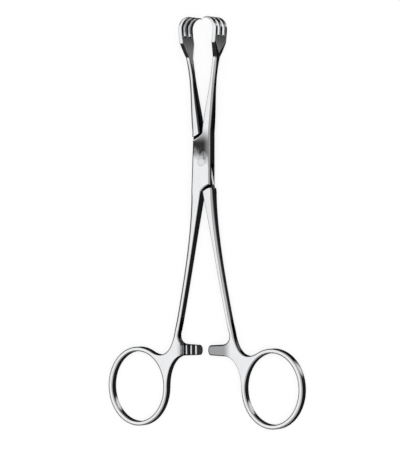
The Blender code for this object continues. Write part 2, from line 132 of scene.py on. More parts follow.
TINE_SLOT = TINE_PITCH - TINE_WIDTH
PALM_TOP_Y = SLOT_FLOOR_Y + TINE_SLOT / 2
PALM_WIDTH = TINE_PITCH * (TINE_COUNT - 1) + TINE_WIDTH
REACH = 12.0
print(f"lock {LOCK_THICK:.1f} mm thick, fan of prongs {PALM_WIDTH:.1f} mm wide")

# %% [markdown]
# ## Curves to draw with
# Forged shanks have no straight edges: they swell and taper. Three kinds of curve draw
# everything here. A cubic that leaves and arrives with a known slope gives the centre
# lines, a Bezier curve gives the webs and valleys, and an ellipse gives the rings.


# %% Curve helpers
def mix(start, end, share):
    return start + (end - start) * share


def ease(share):
    share = min(max(share, 0.0), 1.0)
    return share * share * (3 - 2 * share)


def glide(share, start, start_slope, end, end_slope, span):
    """A cubic from start to end that leaves and arrives with the given slopes."""
    square, cube = share ** 2, share ** 3
    return ((2 * cube - 3 * square + 1) * start + (cube - 2 * square + share) * span * start_slope
            + (3 * square - 2 * cube) * end + (cube - square) * span * end_slope)


def stations(start, end, count):
    return [mix(start, end, step / count) for step in range(count + 1)]


def bezier(start, pull_start, pull_end, end, count):
    points = []
    for t in stations(0, 1, count):
        s = 1 - t
        points.append(tuple(s ** 3 * a + 3 * s * s * t * b + 3 * s * t * t * c + t ** 3 * d
                            for a, b, c, d in zip(start, pull_start, pull_end, end)))
    return points


def ellipse(centre, radii, start, end, count):
    angles = [math.radians(degrees) for degrees in stations(start, end, count)]
    return [(centre[0] + radii[0] * math.cos(angle), centre[1] + radii[1] * math.sin(angle))
            for angle in angles]


print("half way up an eased step:", ease(0.5))

# %% [markdown]
# ## How one half runs
# Seen from the front, each shank has a centre line and a width, and seen from the side it
# has a thickness. Giving each of these as a function of Y keeps the whole half smooth, and
# it lets the prongs, the palm and the shank agree wherever they meet.


# %% Centre lines, widths and thickness
def jaw_x(y):
    if y < PALM_Y:
        share = (y - CROTCH_Y) / (PALM_Y - CROTCH_Y)
        return glide(share, JAW_ROOT_X, JAW_ROOT_SLOPE, PALM_X, PALM_SLOPE, PALM_Y - CROTCH_Y)
    share = (y - PALM_Y) / (HOOK_Y - PALM_Y)
    return glide(share, PALM_X, FAN_SLOPE, HOOK_X, HOOK_SLOPE, HOOK_Y - PALM_Y)


def jaw_width(y):
    if y < PALM_Y:
        neck = mix(JAW_ROOT_WIDTH, JAW_NECK_WIDTH, ease((y - CROTCH_Y) / (JAW_NECK_Y - CROTCH_Y)))
        return mix(neck, PALM_THICK, ease((y - JAW_NECK_Y) / (PALM_Y - JAW_NECK_Y)))
    return mix(PALM_THICK, TINE_THICK + TINE_INSET, (y - PALM_Y) / (PALM_TOP_Y - PALM_Y))


def handle_share(y):
    return (y + CROTCH_Y) / (HANDLE_END_Y + CROTCH_Y)


def handle_x(y):
    return glide(handle_share(y), HANDLE_ROOT_X, HANDLE_ROOT_SLOPE, HANDLE_END_X, HANDLE_END_SLOPE,
                 -CROTCH_Y - HANDLE_END_Y)


def handle_width(y):
    return mix(HANDLE_WIDTH, HANDLE_ROOT_WIDTH, (1 - handle_share(y)) ** 4)


def thickness(y):
    if y >= PALM_Y:
        return mix(JAW_NECK_THICK * WRIST_SWELL, PALM_WIDTH, min((y - PALM_Y) / FAN_LENGTH, 1.0))
    if y >= CROTCH_Y:
        neck = mix(LOCK_THICK, JAW_NECK_THICK, ease((y - CROTCH_Y) / (JAW_NECK_Y - CROTCH_Y)))
        return neck * mix(1.0, WRIST_SWELL, ease((y - JAW_NECK_Y) / (PALM_Y - JAW_NECK_Y)))
    if y > -CROTCH_Y:
        return LOCK_THICK
    return mix(HANDLE_THICK, LOCK_THICK, (1 - min(handle_share(y), 1.0)) ** 3)


for place in (PALM_TOP_Y, JAW_NECK_Y, 0.0, HANDLE_END_Y):
    print(f"at y {place:6.1f} the steel is {thickness(place):.1f} mm thick")

# %% [markdown]
# ## The rim of one half
# A forging is ground by hand: the outer sides of the shanks are crowned for the fingers,
# the inner sides stay flat so that they can close, and the rings are rounded all round. So
# every point of the outline carries two more numbers, how far the rounding eats into the
# face and how far it comes down the side. Averaging them along the outline makes one kind
# of rounding run into the next, as it does under a grinding belt. The inner side of the
# tongue's jaw has a ground bevel instead, widest at the lock, that runs out before the palm.

# %% Rounding of the rim: depth into the face, drop down the side
CROWNED = (1.5, 1.3)
FLAT = (0.35, 0.3)
LOCK_RIM = (0.8, 1.0)
RING_RIM = (0.9, 0.45)
PALM_RIM = (0.3, 0.3)
ARM_RIM = (0.9, 0.9)
BEVEL = (1.3, 0.6)
BEVEL_END_Y, BEVEL_SWIFTNESS = 42.0, 1.8
FLANK_LEFT, SOFTENING = 0.15, 14


def rimmed(points, rim):
    return [(x, y, rim[0], rim[1]) for x, y in points]


def soften(outline, passes):
    """Average the rounding with its neighbours, again and again."""
    result = [(x, y, depth, min(drop, thickness(y) / 2 - FLANK_LEFT))
              for x, y, depth, drop in outline]
    count = len(result)
    for _ in range(passes):
        result = [(x, y, (result[i - 1][2] + 2 * depth + result[(i + 1) % count][2]) / 4,
                   (result[i - 1][3] + 2 * drop + result[(i + 1) % count][3]) / 4)
                  for i, (x, y, depth, drop) in enumerate(result)]
    return result


# %% The long sides of the shanks
SHANK_STEPS, PALM_STEPS, HANDLE_STEPS = 44, 12, 72


def bevelled(points):
    """The inner side of the tongue's jaw: a bevel at the lock that runs out towards the palm."""
    shares = [ease((BEVEL_END_Y - y) / (BEVEL_END_Y - CROTCH_Y) * BEVEL_SWIFTNESS) for _, y in points]
    return [(x, y, mix(FLAT[0], BEVEL[0], share), mix(FLAT[1], BEVEL[1], share))
            for (x, y), share in zip(points, shares)]


def jaw_side(side, kind="box"):
    """One long side of the upper shank and palm: side is -1 outside and +1 inside."""
    def edge(y):
        return -jaw_x(y) + side * jaw_width(y) / 2, y
    fan_end = PALM_Y + FAN_LENGTH
    shank = [edge(y) for y in stations(CROTCH_Y, PALM_Y, SHANK_STEPS)[:-1]]
    palm = [edge(y) for y in stations(PALM_Y, fan_end, PALM_STEPS)[:-1]
            + stations(fan_end, PALM_TOP_Y, PALM_STEPS // 2)]
    inner = bevelled(shank) if kind == "tongue" else rimmed(shank, FLAT)
    return (rimmed(shank, CROWNED) if side < 0 else inner) + rimmed(palm, PALM_RIM)


def handle_side(side):
    """One long side of the lower shank: side is -1 inside and +1 outside."""
    points = [(handle_x(y) + side * handle_width(y) / 2, y)
              for y in stations(-CROTCH_Y, HANDLE_END_Y, HANDLE_STEPS)]
    return rimmed(points, CROWNED if side > 0 else FLAT)


print(len(jaw_side(1)) + len(handle_side(1)), "points along one side of a half")


# %% The ratchet arm, the ring and the valley between them
RING_STEPS, RING_TOP_STEPS, RING_HOLE_STEPS = 36, 90, 160
VALLEY_STEPS, FILLET_STEPS, NOSE_STEPS = 44, 20, 28
FILLET_PULLS = ((0.20, 0.40), (-0.05, 0.0), (-0.55, 0.0))
NOSE_BLUNTNESS, HEEL_BACK, SWEEP_PULLS, VALLEY_LEAN = 0.55, 0.30, (0.55, 0.42), 0.22


def arm_outline(tip_x):
    """From the inner side of the shank round the ratchet arm, up to where it meets the ring."""
    inner_x = handle_x(HANDLE_END_Y) - HANDLE_WIDTH / 2
    root_top, root_bottom = ARM_Y + ARM_ROOT_HEIGHT / 2, ARM_Y - ARM_ROOT_HEIGHT / 2
    corner = HANDLE_END_Y - root_top
    tip_half = ARM_TIP_HEIGHT / 2
    nose_length = NOSE_BLUNTNESS * tip_half
    fillet = bezier((inner_x, HANDLE_END_Y), *((inner_x + across * corner, root_top + along * corner)
                                               for across, along in FILLET_PULLS), FILLET_STEPS)
    nose = ellipse((tip_x + nose_length, ARM_Y), (nose_length, tip_half), 90, 270, NOSE_STEPS)
    heel_x = inner_x - HEEL_BACK * corner
    ring_side = RING_X - RING_OPEN_X - RING_INNER_LIMB
    sweep_y = RING_Y - root_bottom
    under = bezier((heel_x, root_bottom), (mix(heel_x, ring_side, SWEEP_PULLS[0]), root_bottom),
                   (ring_side, root_bottom + SWEEP_PULLS[1] * sweep_y), (ring_side, RING_Y), RING_STEPS)
    return rimmed(fillet[1:] + nose, ARM_RIM) + rimmed(under, FLAT)


def ring_outline():
    """Round the outside of the ring and up the valley beside the shank."""
    outer = (RING_OPEN_X + RING_LIMB, RING_OPEN_Y + RING_LIMB)
    inner = (RING_OPEN_X + RING_INNER_LIMB, outer[1])
    low = ellipse((RING_X, RING_Y), inner, 180, 270, RING_STEPS)
    high = ellipse((RING_X, RING_Y), outer, 270, 360 + RING_TOP_ANGLE, RING_TOP_STEPS)
    start, slope = high[-1], math.radians(RING_TOP_ANGLE)
    along = Vector((-outer[0] * math.sin(slope), outer[1] * math.cos(slope))).normalized()
    shank = (handle_x(HANDLE_END_Y) + HANDLE_WIDTH / 2 + HANDLE_END_SLOPE * VALLEY_START,
             HANDLE_END_Y - VALLEY_START)
    valley = bezier(start, (start[0] + VALLEY_PULL * along.x, start[1] + VALLEY_PULL * along.y),
                    (shank[0] + VALLEY_LEAN * VALLEY_DEPTH, shank[1] - VALLEY_DEPTH), shank, VALLEY_STEPS)
    return rimmed(low[1:] + high[1:] + valley[1:], RING_RIM)


def ring_hole():
    points = ellipse((RING_X, RING_Y), (RING_OPEN_X, RING_OPEN_Y), 360, 0, RING_HOLE_STEPS)[:-1]
    return soften(rimmed(points, RING_RIM), 1)


print("ring opening:", 2 * RING_OPEN_X, "x", 2 * RING_OPEN_Y, "mm")

# %% [markdown]
# ## The lock
# The ends of the box are hollowed so that the other half can swing: each wall of the box
# ends in a curve that starts at its side and runs up into the crotch. The tongue narrows to
# a round hub about the rivet, and four straight edges leave that hub at a tangent. Those
# four directions also place the two solid pillars inside the box, because the tongue comes
# to rest on a pillar at the end of its swing. The swing itself is read from the frame.

# %% Limits of the swing, in degrees
swing = frame["joints"][0]["range_deg"]
CLOSING, OPENING = -swing[0], swing[1]
print("the tongue half closes by", CLOSING, "and opens by", OPENING, "degrees")


# %% Mouths, hub and tongue
MOUTH_STEPS, HUB_STEPS = 24, 10


def crotch(by_jaw):
    """Where the inner side of a shank meets the lock."""
    if by_jaw:
        return -jaw_x(CROTCH_Y) + jaw_width(CROTCH_Y) / 2, CROTCH_Y
    return handle_x(-CROTCH_Y) - handle_width(-CROTCH_Y) / 2, -CROTCH_Y


def mouth(by_jaw):
    """The curved end of the lock's walls, from its side to the crotch beside a shank."""
    side, inner = (MOUTH_X, MOUTH_Y) if by_jaw else (-MOUTH_X, -MOUTH_Y), crotch(by_jaw)
    pulls = [(mix(side[0], inner[0], across), mix(side[1], inner[1], along))
             for across, along in MOUTH_PULLS]
    return bezier(side, *pulls, inner, MOUTH_STEPS)


def on_hub(angle, radius=HUB_RADIUS):
    return radius * math.cos(angle), radius * math.sin(angle)


def tangent_angle(point, side):
    """Direction from the rivet to where a line from the point touches the hub."""
    return math.atan2(point[1], point[0]) + side * math.acos(HUB_RADIUS / math.hypot(*point))


HANDLE_CORNER = (MOUTH_X + TONGUE_PROUD, SHOULDER_GAP / 2 - MOUTH_Y)
JAW_CORNER = (-HANDLE_CORNER[0], -HANDLE_CORNER[1])
TONGUE_EDGES = {"jaw_outer": tangent_angle(JAW_CORNER, 1), "jaw_inner": tangent_angle(crotch(True), -1),
                "handle_inner": tangent_angle(crotch(False), -1),
                "handle_outer": tangent_angle(HANDLE_CORNER, 1)}


def hub_arc(first, last):
    """Points round the hub, between two of the tongue's edges."""
    turn = (TONGUE_EDGES[last] - TONGUE_EDGES[first]) % (2 * math.pi)
    return [on_hub(TONGUE_EDGES[first] + turn * step / HUB_STEPS) for step in range(HUB_STEPS + 1)]


def lock_sides(kind):
    """What joins the shanks at the lock: the walls of the box, or the edges of the tongue."""
    if kind == "box":
        return mouth(False)[:-1], mouth(True)[:-1]
    return ([JAW_CORNER] + hub_arc("jaw_outer", "handle_inner"),
            [HANDLE_CORNER] + hub_arc("handle_outer", "jaw_inner"))


for edge_name, angle in TONGUE_EDGES.items():
    print("the edge", edge_name, "meets the hub at", round(math.degrees(angle)), "degrees")

# %% [markdown]
# ## From outline to blank
# The blank of each half is a plate with a rounded rim. Its side is a stack of loops, each
# a little lower and a little further out than the last, round a quarter of an ellipse. The
# faces are harder: the front of a shank tapers, and polished steel shows every long
# triangle that lies across it. So the faces of the shanks are laid as rungs of a ladder,
# and only the lock and the foot, which are truly flat, are filled with triangles.

# %% Blank of one half
RIM_STEPS = 8
MITRE_LIMIT = 0.6


def half_outline(kind, tip_x):
    """The rim of a half, with the ladders and the flat fills that close its two faces."""
    left, right = (rimmed(points, LOCK_RIM) for points in lock_sides(kind))
    parts = [jaw_side(-1)[::-1], left, handle_side(-1), arm_outline(tip_x) + ring_outline(),
             handle_side(1)[-2::-1], right, jaw_side(1, kind)]
    starts = [sum(len(part) for part in parts[:index]) for index in range(len(parts))]
    jaw_out, _, shank_in, _, shank_out, _, jaw_in = starts
    jaw_count, shank_count = len(parts[0]), len(parts[4])
    ladders = [[(jaw_out + jaw_count - 1 - k, jaw_in + k) for k in range(jaw_count)],
               [(shank_in + k, shank_out + shank_count - 1 - k) for k in range(shank_count)]]
    lock_fill = list(range(jaw_out + jaw_count - 1, shank_in + 1))
    lock_fill += list(range(shank_out + shank_count - 1, jaw_in + 1))
    foot_fill = list(range(shank_in + shank_count - 1, shank_out + 1))
    return soften([point for part in parts for point in part], SOFTENING), ladders, lock_fill, foot_fill


def into_steel(outline):
    """For each point, the step that moves both of its edges one unit into the steel."""
    points = [Vector(point[:2]) for point in outline]
    sides = [(after - here).normalized() for here, after in zip(points, points[1:] + points[:1])]
    steps = []
    for before, after in zip(sides[-1:] + sides[:-1], sides):
        across = Vector((-before.y - after.y, before.x + after.x)).normalized()
        steps.append(across / max(across.dot(Vector((-before.y, before.x))), MITRE_LIMIT))
    return steps


def rim_loops(outline):
    """Loops of points from the front face, down the rounded rim, to the back face."""
    inward = into_steel(outline)
    levels = [(1, 90 - 90 * step / RIM_STEPS) for step in range(RIM_STEPS + 1)]
    levels += [(-1, degrees) for _, degrees in reversed(levels)]
    loops = []
    for sign, degrees in levels:
        bite, fall = 1 - math.cos(math.radians(degrees)), 1 - math.sin(math.radians(degrees))
        loops.append([(x + step.x * (depth * bite), y + step.y * (depth * bite),
                       sign * (thickness(y) / 2 - drop * fall))
                      for (x, y, depth, drop), step in zip(outline, inward)])
    return loops


def fill(verts, loops):
    """Triangles that fill the flat area between an outer loop and its holes."""
    numbers = [number for loop in loops for number in loop]
    polygons = [[Vector((*verts[number][:2], 0.0)) for number in loop] for loop in loops]
    return [tuple(numbers[place] for place in corner) for corner in tessellate_polygon(polygons)]


def blank(kind, tip_x):
    """The whole plate of a half, before anything is cut from it."""
    rim, ladders, lock_fill, foot_fill = half_outline(kind, tip_x)
    verts, faces, ends = [], [], []
    for outline in (rim, ring_hole()):
        loops, base, count = rim_loops(outline), len(verts), len(outline)
        verts += [point for loop in loops for point in loop]
        for level in range(len(loops) - 1):
            upper, lower = base + level * count, base + (level + 1) * count
            faces += [(upper + i, lower + i, lower + (i + 1) % count, upper + (i + 1) % count)
                      for i in range(count)]
        ends.append((base, base + (len(loops) - 1) * count, count))
    for face in (0, 1):
        base, hole = ends[0][face], ends[1][face]
        for ladder in ladders:
            faces += [(base + a, base + b, base + d, base + c)
                      for (a, b), (c, d) in zip(ladder[:-1], ladder[1:])]
        faces += fill(verts, [[base + number for number in lock_fill]])
        faces += fill(verts, [[base + number for number in foot_fill], range(hole, hole + ends[1][2])])
    return verts, faces


print("the blank of the box half has", len(blank("box", BOX_ARM_TIP_X)[0]), "points")

# %% [markdown]
# ## The prongs
# Each palm ends in a row of prongs that bend towards the other jaw. A prong is a bar with
# rounded corners, swept along part of an ellipse and thinned to a blunt point. Sweeping it
# by hand, and not with a curve object, keeps its width full until half way round the hook,
# which is what makes the points look ground.

# %% Prongs
TINE_CORNER, CORNER_TURN = 0.22, 15
HOOK_STEPS, FOOT_STEPS = 40, 8
FULL_WIDTH_SHARE, TAPER_POWER = 0.45, 1.3


def rounded_square():
    """A square of side 2 with rounded corners, as (across, up) points."""
    points = []
    for quarter in range(4):
        turn = math.radians(90 * quarter)
        middle = Vector((math.cos(turn + math.pi / 4), math.sin(turn + math.pi / 4))) * math.sqrt(2)
        for degrees in range(0, 91, CORNER_TURN):
            angle = turn + math.radians(degrees)
            points.append((middle.x * (1 - TINE_CORNER) + TINE_CORNER * math.cos(angle),
                           middle.y * (1 - TINE_CORNER) + TINE_CORNER * math.sin(angle)))
    return points


def tine_path():
    """Centre line of a prong, as (point, direction, share of the hook)."""
    path = []
    for y in stations(SLOT_FLOOR_Y - TINE_SLOT / 4, HOOK_Y, FOOT_STEPS)[:-1]:
        slope = jaw_x(y + 0.5) - jaw_x(y - 0.5)
        path.append(((-jaw_x(y), y), Vector((-slope, 1.0)).normalized(), 0.0))
    for share in stations(0, 1, HOOK_STEPS):
        angle = math.radians(HOOK_ANGLE * share)
        point = (HOOK_REACH - HOOK_X - HOOK_REACH * math.cos(angle), HOOK_Y + HOOK_RISE * math.sin(angle))
        along = Vector((HOOK_REACH * math.sin(angle), HOOK_RISE * math.cos(angle)))
        path.append((point, along.normalized(), share))
    return path


def tube(rows, count):
    """Faces that join rows of points into a closed tube with two flat ends."""
    faces = [(row * count + i, row * count + (i + 1) % count,
              (row + 1) * count + (i + 1) % count, (row + 1) * count + i)
             for row in range(rows - 1) for i in range(count)]
    return faces + [tuple(range(count - 1, -1, -1)), tuple(range((rows - 1) * count, rows * count))]


def tine(height):
    """One prong at a height, from inside the palm to its point."""
    verts, section, path = [], rounded_square(), tine_path()
    for point, along, share in path:
        thick = mix(TINE_THICK, TINE_POINT, share ** TAPER_POWER)
        taper = max(share - FULL_WIDTH_SHARE, 0.0) / (1 - FULL_WIDTH_SHARE)
        wide = mix(TINE_WIDTH - TINE_INSET, TINE_POINT, taper)
        verts += [(point[0] - along.y * across * thick / 2, point[1] + along.x * across * thick / 2,
                   height + up * wide / 2) for across, up in section]
    return verts, tube(len(path), len(section))


def tine_heights():
    return [(index - (TINE_COUNT - 1) / 2) * TINE_PITCH for index in range(TINE_COUNT)]


print("prongs at heights", tine_heights(), "mm, points at x", round(tine_path()[-1][0][0], 2))

# %% [markdown]
# ## What is milled away
# The slot of the box, the cheeks of the tongue, the floors between the prongs and the teeth
# of the ratchet are all cut after forging. Each is a plain solid that a Boolean modifier
# takes away. A cutter has its own material, and the modifier hands it to the faces that it
# cuts, so the milled places keep their dull tool marks next to the polished forging.


# %% Cutter shapes
PIN_STEPS, FLOOR_STEPS, SCOOP_STEPS = 96, 64, 8


def prism(outline, axis, low, high):
    """A straight solid on a flat outline, drawn along the given axis from low to high."""
    place = "xyz".index(axis)
    verts = [(*point[:place], height, *point[place:]) for height in (low, high) for point in outline]
    return verts, tube(2, len(outline))


def turned(profile):
    """A solid turned about the rivet's axis, from (radius, height) points."""
    verts = [(*on_hub(2 * math.pi * step / PIN_STEPS, radius), height)
             for radius, height in profile for step in range(PIN_STEPS)]
    return verts, tube(len(profile), PIN_STEPS)


def prong_floor(low, high):
    """The round floor between two prongs."""
    radius = TINE_SLOT / 2
    circle = ellipse((PALM_TOP_Y, (low + high) / 2), (radius, radius), 0, 360, FLOOR_STEPS)[:-1]
    return prism(circle, "x", -HOOK_X - REACH / 3, -HOOK_X + REACH / 3)


def pillar(first, second, wall, far):
    """The edge of a pillar: two straight walls that the tongue meets at its two limits."""
    bend = (second - first) / 2
    corner = on_hub(first + bend, wall / math.cos(bend))
    start = Vector(on_hub(first, wall)) + far * Vector((-math.sin(first), math.cos(first)))
    end = Vector(on_hub(second, wall)) - far * Vector((-math.sin(second), math.cos(second)))
    return [tuple(start), corner, tuple(end)]


def lock_slot():
    """The slot: all that the tongue sweeps, between the two pillars."""
    closing, opening = math.radians(CLOSING), math.radians(OPENING)
    wall, far = HUB_RADIUS + SIDE_CLEAR, 2.5 * REACH
    right, left = (pillar(TONGUE_EDGES[inner] - closing, TONGUE_EDGES[outer] + opening, wall, far)
                   for inner, outer in (("jaw_inner", "handle_outer"), ("handle_inner", "jaw_outer")))
    half = TONGUE_THICK / 2 + SLOT_CLEAR
    return prism(right + [(far, -far)] + left + [(-far, far)], "z", -half, half)


def cheeks(sign):
    """What is taken off one side of the crossing to leave the tongue."""
    lower = [(-x, y - SHOULDER_GAP) for x, y in mouth(False)]
    upper = [(-x, y + SHOULDER_GAP) for x, y in mouth(True)]
    lower = [(REACH, lower[0][1])] + lower + [(-REACH, lower[-1][1] - REACH / 3)]
    upper = [(-REACH, upper[0][1])] + upper + [(REACH, upper[-1][1] + REACH / 3)]
    low, high = sorted((sign * TONGUE_THICK / 2, sign * LOCK_THICK))
    return prism(lower + upper, "z", low, high)


def ratchet(tip_x, upward):
    """What is taken off an arm to leave half its height, with saw teeth on the cut face."""
    sign = 1 if upward else -1
    crest, root = -CREST_CLEAR, -CREST_CLEAR - TOOTH_DEPTH
    step_x = handle_x(HANDLE_END_Y) - HANDLE_WIDTH / 2 - ARM_STEP
    outside = tip_x - TOOTH_PITCH / 2
    profile = [(outside, mix(crest, root, NOSE_CUT))]
    x = min(tip_x + TOOTH_LEAD, step_x - TOOTH_TAIL - TOOTH_PITCH * (TOOTH_COUNT - 1))
    for _ in range(TOOTH_COUNT):
        profile += [(x, crest), (x + TOOTH_FLAT, crest), (x + TOOTH_FLAT + TOOTH_DROP, root)]
        x += TOOTH_PITCH
    scoop = ellipse((step_x - ARM_STEP, root + ARM_STEP), (ARM_STEP, ARM_STEP), 270, 360, SCOOP_STEPS)
    profile += scoop + [(step_x, HANDLE_THICK), (outside, HANDLE_THICK)]
    return prism([(x, sign * z) for x, z in profile], "y", ARM_Y - ARM_ROOT_HEIGHT, ARM_Y + ARM_ROOT_HEIGHT)


def pin_profile(extra):
    """Half section of the rivet, with its countersunk heads, grown by a clearance."""
    shaft, head = PIN_RADIUS + extra, PIN_HEAD_RADIUS + extra
    flare = HALF_LOCK - PIN_HEAD_DEPTH
    return [(head, -HALF_LOCK), (shaft, -flare), (shaft, flare), (head, HALF_LOCK)]


def pin_hole(fit):
    profile = pin_profile(fit)
    return turned([(profile[0][0], profile[0][1] - REACH)] + profile
                  + [(profile[-1][0], profile[-1][1] + REACH)])


print("points of the slot's cutter:", len(lock_slot()[0]))
print("points of a ratchet's cutter:", len(ratchet(BOX_ARM_TIP_X, True)[0]))

# %% [markdown]
# ## Satin steel
# Surgical steel is polished and then given a satin finish, so that it doesn't dazzle under
# theatre lamps. It still mirrors the room, softly. What separates it from a flat grey is
# small: hair-fine lines left by the belt, slow waves where a hand held it to the wheel, and
# edges that use has brightened. The lines and waves are noise at the right scale, and the
# edges come from a Bevel node, which compares the surface with a rounded one. A few helpers
# keep the node trees short. None has to be told which tree it works in, because every node
# and socket knows its own, as its id_data.


# %% Node helpers
def add(tree, kind, **settings):
    node = tree.nodes.new(kind)
    for name, value in settings.items():
        setattr(node, name, value)
    return node


def feed(node, **values):
    """Give sockets a number, a vector or a colour, or link them to another node's output."""
    for name, value in values.items():
        socket = node.inputs[int(name[1:]) if name[0] == "_" else name.replace("_", " ")]
        if isinstance(value, (int, float, tuple)):
            socket.default_value = value
        else:
            node.id_data.links.new(value, socket)


def remap(value, start, end, low=0.0, high=1.0, kind="SMOOTHSTEP"):
    """Map a range onto another. As it stands, a mask that rises softly from 0 to 1."""
    node = add(value.id_data, "ShaderNodeMapRange", interpolation_type=kind)
    feed(node, Value=value, From_Min=start, From_Max=end, To_Min=low, To_Max=high)
    return node.outputs["Result"]


def spread(value, low, high, start=0.3, end=0.7):
    """Map noise, which lies mostly between 0.3 and 0.7, evenly onto a range."""
    return remap(value, start, end, low, high, "LINEAR")


def combine(operation, *values):
    """Join values from left to right with one kind of arithmetic."""
    tree = next(value.id_data for value in values if not isinstance(value, float))
    total = values[0]
    for value in values[1:]:
        node = add(tree, "ShaderNodeMath", operation=operation)
        feed(node, _0=total, _1=value)
        total = node.outputs["Value"]
    return total


def times(*values):
    return combine("MULTIPLY", *values)


def off(value, middle=0.0):
    """How far a value is from a middle one, on either side."""
    return combine("ABSOLUTE", combine("SUBTRACT", value, middle), 0.0)


def blend(first, second, mask, kind="MIX"):
    """Mix two colours by a mask."""
    node = add(mask.id_data, "ShaderNodeMix", data_type="RGBA", blend_type=kind)
    feed(node, A=first, B=second, Factor=mask)
    return node.outputs["Result"]


def grey(level):
    return level, level, level, 1.0


def darken(colour, mask, share):
    """Bring a colour down to a share of itself where the mask is 1."""
    return blend(colour, grey(share), mask, "MULTIPLY")


print("node helpers ready, and a grey is", grey(0.5))


# %% Steel helpers
def new_steel(name):
    """A material with its tree, its shader, and object coordinates in millimetres."""
    material = bpy.data.materials.new(name)
    material.use_nodes = True
    tree = material.node_tree
    scaled = add(tree, "ShaderNodeVectorMath", operation="SCALE")
    feed(scaled, _0=add(tree, "ShaderNodeTexCoord").outputs["Object"], Scale=1 / TO_METRES)
    return material, tree, tree.nodes["Principled BSDF"], scaled.outputs["Vector"]


def noise(place, per_mm, detail=3.0):
    """Noise at so many features per millimetre along X, Y and Z."""
    stretch = add(place.id_data, "ShaderNodeVectorMath", operation="MULTIPLY")
    feed(stretch, _0=place, _1=per_mm)
    texture = add(place.id_data, "ShaderNodeTexNoise")
    feed(texture, Vector=stretch.outputs["Vector"], Scale=1.0, Detail=detail)
    return texture.outputs["Fac"]


def bump(height, deep, strength, under):
    """Tilt the surface by a pattern so many millimetres deep."""
    node = add(height.id_data, "ShaderNodeBump")
    feed(node, Height=height, Distance=deep * TO_METRES, Strength=strength, Normal=under)
    return node.outputs["Normal"]


def worn_edges(tree, radius):
    """A rounded normal, and a mask that is 1 on the edges that hands have brightened."""
    rounded = add(tree, "ShaderNodeBevel", samples=4)
    feed(rounded, Radius=radius * TO_METRES)
    facing = add(tree, "ShaderNodeVectorMath", operation="DOT_PRODUCT")
    feed(facing, _0=rounded.outputs["Normal"],
         _1=add(tree, "ShaderNodeNewGeometry").outputs["Normal"])
    return rounded.outputs["Normal"], spread(facing.outputs["Value"], 1.0, 0.0, 0.80, 0.99)


def whereabouts(tree, place):
    """Where a point lies, in millimetres, and how far its surface faces along each axis."""
    position, facing = (add(tree, "ShaderNodeSeparateXYZ") for _ in range(2))
    feed(position, Vector=place)
    feed(facing, Vector=add(tree, "ShaderNodeTexCoord").outputs["Normal"])
    (x, y, z), (across, endways, upward) = position.outputs, facing.outputs
    return {"x": x, "y": y, "z": z, "off_axis": off(x), "off_rivet": off(y),
            "off_plane": off(z, HALF_LOCK), "sideways": off(across),
            "endways": endways, "upward": upward, "flatness": off(upward)}


def region(spot, *limits):
    """A mask for one place. Each limit is a measure, its value where the mask is 0 and its
    value where the mask is 1, and all the limits have to hold."""
    return times(*(remap(spot[measure], none, full) for measure, none, full in limits))


print("steel helpers ready, lengths in them are in millimetres")

# %% [markdown]
# ## Places with a finish or a painted shade of their own
# A belt and a wheel don't reach everywhere, so a forging isn't the same grey all over. The
# palms keep a dull shield and the ratchet arms are filed by hand, so both are rougher. Many
# places are also darker in colour, which is painted shade: the palms and their upper ends by
# the prongs, the ratchet arms and their rims, the crooks beside them, the hooks, the flanks
# of the jaws, the rims of the fans and the bevel along the tongue's jaw. The head of the box
# has a painted dark patch and the bevel under its mouth a painted highlight, and the tongue
# shows its ground edges. Each place is a mask, written as limits on where a point lies and
# on which way its surface faces.

# %% Places on the handles and the lock
SIDE_ON = ("sideways", 0.75, 0.95)


def handle_places(spot):
    """The filed ratchet arm, rougher and darkened by painted shade, with more painted shade on its rims and
    in the crooks beside it.
    """
    # Painted shade: the arm is darkened in colour, and its rims more.
    arm = region(spot, ("off_axis", HANDLE_END_X + 0.7, HANDLE_END_X - 3.8),
                 ("y", HANDLE_END_Y - 1.0, HANDLE_END_Y - 6.0))
    # Painted shade in the crooks beside the arm.
    crook_shade = region(spot, ("y", HANDLE_END_Y + 7.0, HANDLE_END_Y + 3.0),
                   ("y", ARM_Y - 8.0, ARM_Y - 3.0), ("flatness", 0.75, 0.45))
    return {"arm": arm, "arm_rim_shade": times(arm, region(spot, ("upward", 0.97, 0.75))), "crook_shade": crook_shade}


def box_places(spot, cloudy):
    """Painted shade in a dark patch on the head of the box, ragged at its lower end, and a painted highlight
    on the bevel of its mouth.
    """
    # Painted shade: a dark patch over the head of the box.
    leaning = combine("ADD", spot["y"], times(spot["x"], 0.45), spread(cloudy, -1.6, 1.6))
    head = times(remap(leaning, -1.5, 6.6), spread(spot["x"], 1.0, 0.72, 1.6, 4.2),
                 region(spot, ("y", 17.5, 9.0), ("z", LOCK_THICK - 0.9, LOCK_THICK - 0.2),
                        ("upward", 0.80, 0.98)))
    # Painted highlight: the bevel under the mouth turns a pale grey.
    mouth_bevel_highlight = region(spot, ("x", 1.2, 0.2), ("y", MOUTH_Y - 0.9, MOUTH_Y - 0.2),
                         ("z", LOCK_THICK - 1.3, LOCK_THICK - 0.9),
                         ("upward", 0.995, 0.95), ("upward", 0.15, 0.30))
    return {"lock_head_shade": head, "mouth_bevel_highlight": mouth_bevel_highlight}


def tongue_places(spot):
    """The ground edges of the tongue, and painted shade on the bevel along the inner side of its jaw."""
    edge = region(spot, ("off_rivet", MOUTH_Y + 0.2, MOUTH_Y - 0.5), ("sideways", 0.6, 0.8),
                  ("off_plane", TONGUE_THICK / 2 + 0.1, TONGUE_THICK / 2 - 0.05))
    leaning = combine("ADD", spot["x"], times(spot["y"], 0.13))
    # Painted shade: the bevel along the jaw's inner side is darkened.
    bevel = region(spot, ("y", CROTCH_Y - 0.6, CROTCH_Y + 0.4), ("y", BEVEL_END_Y, BEVEL_END_Y - 5.0),
                   ("sideways", 0.08, 0.25))
    return {"tongue_edge": edge, "shank_bevel_shade": times(remap(leaning, -1.2, -0.8), bevel)}


print("a surface is a flank where its normal lies more than", SIDE_ON[1], "sideways")


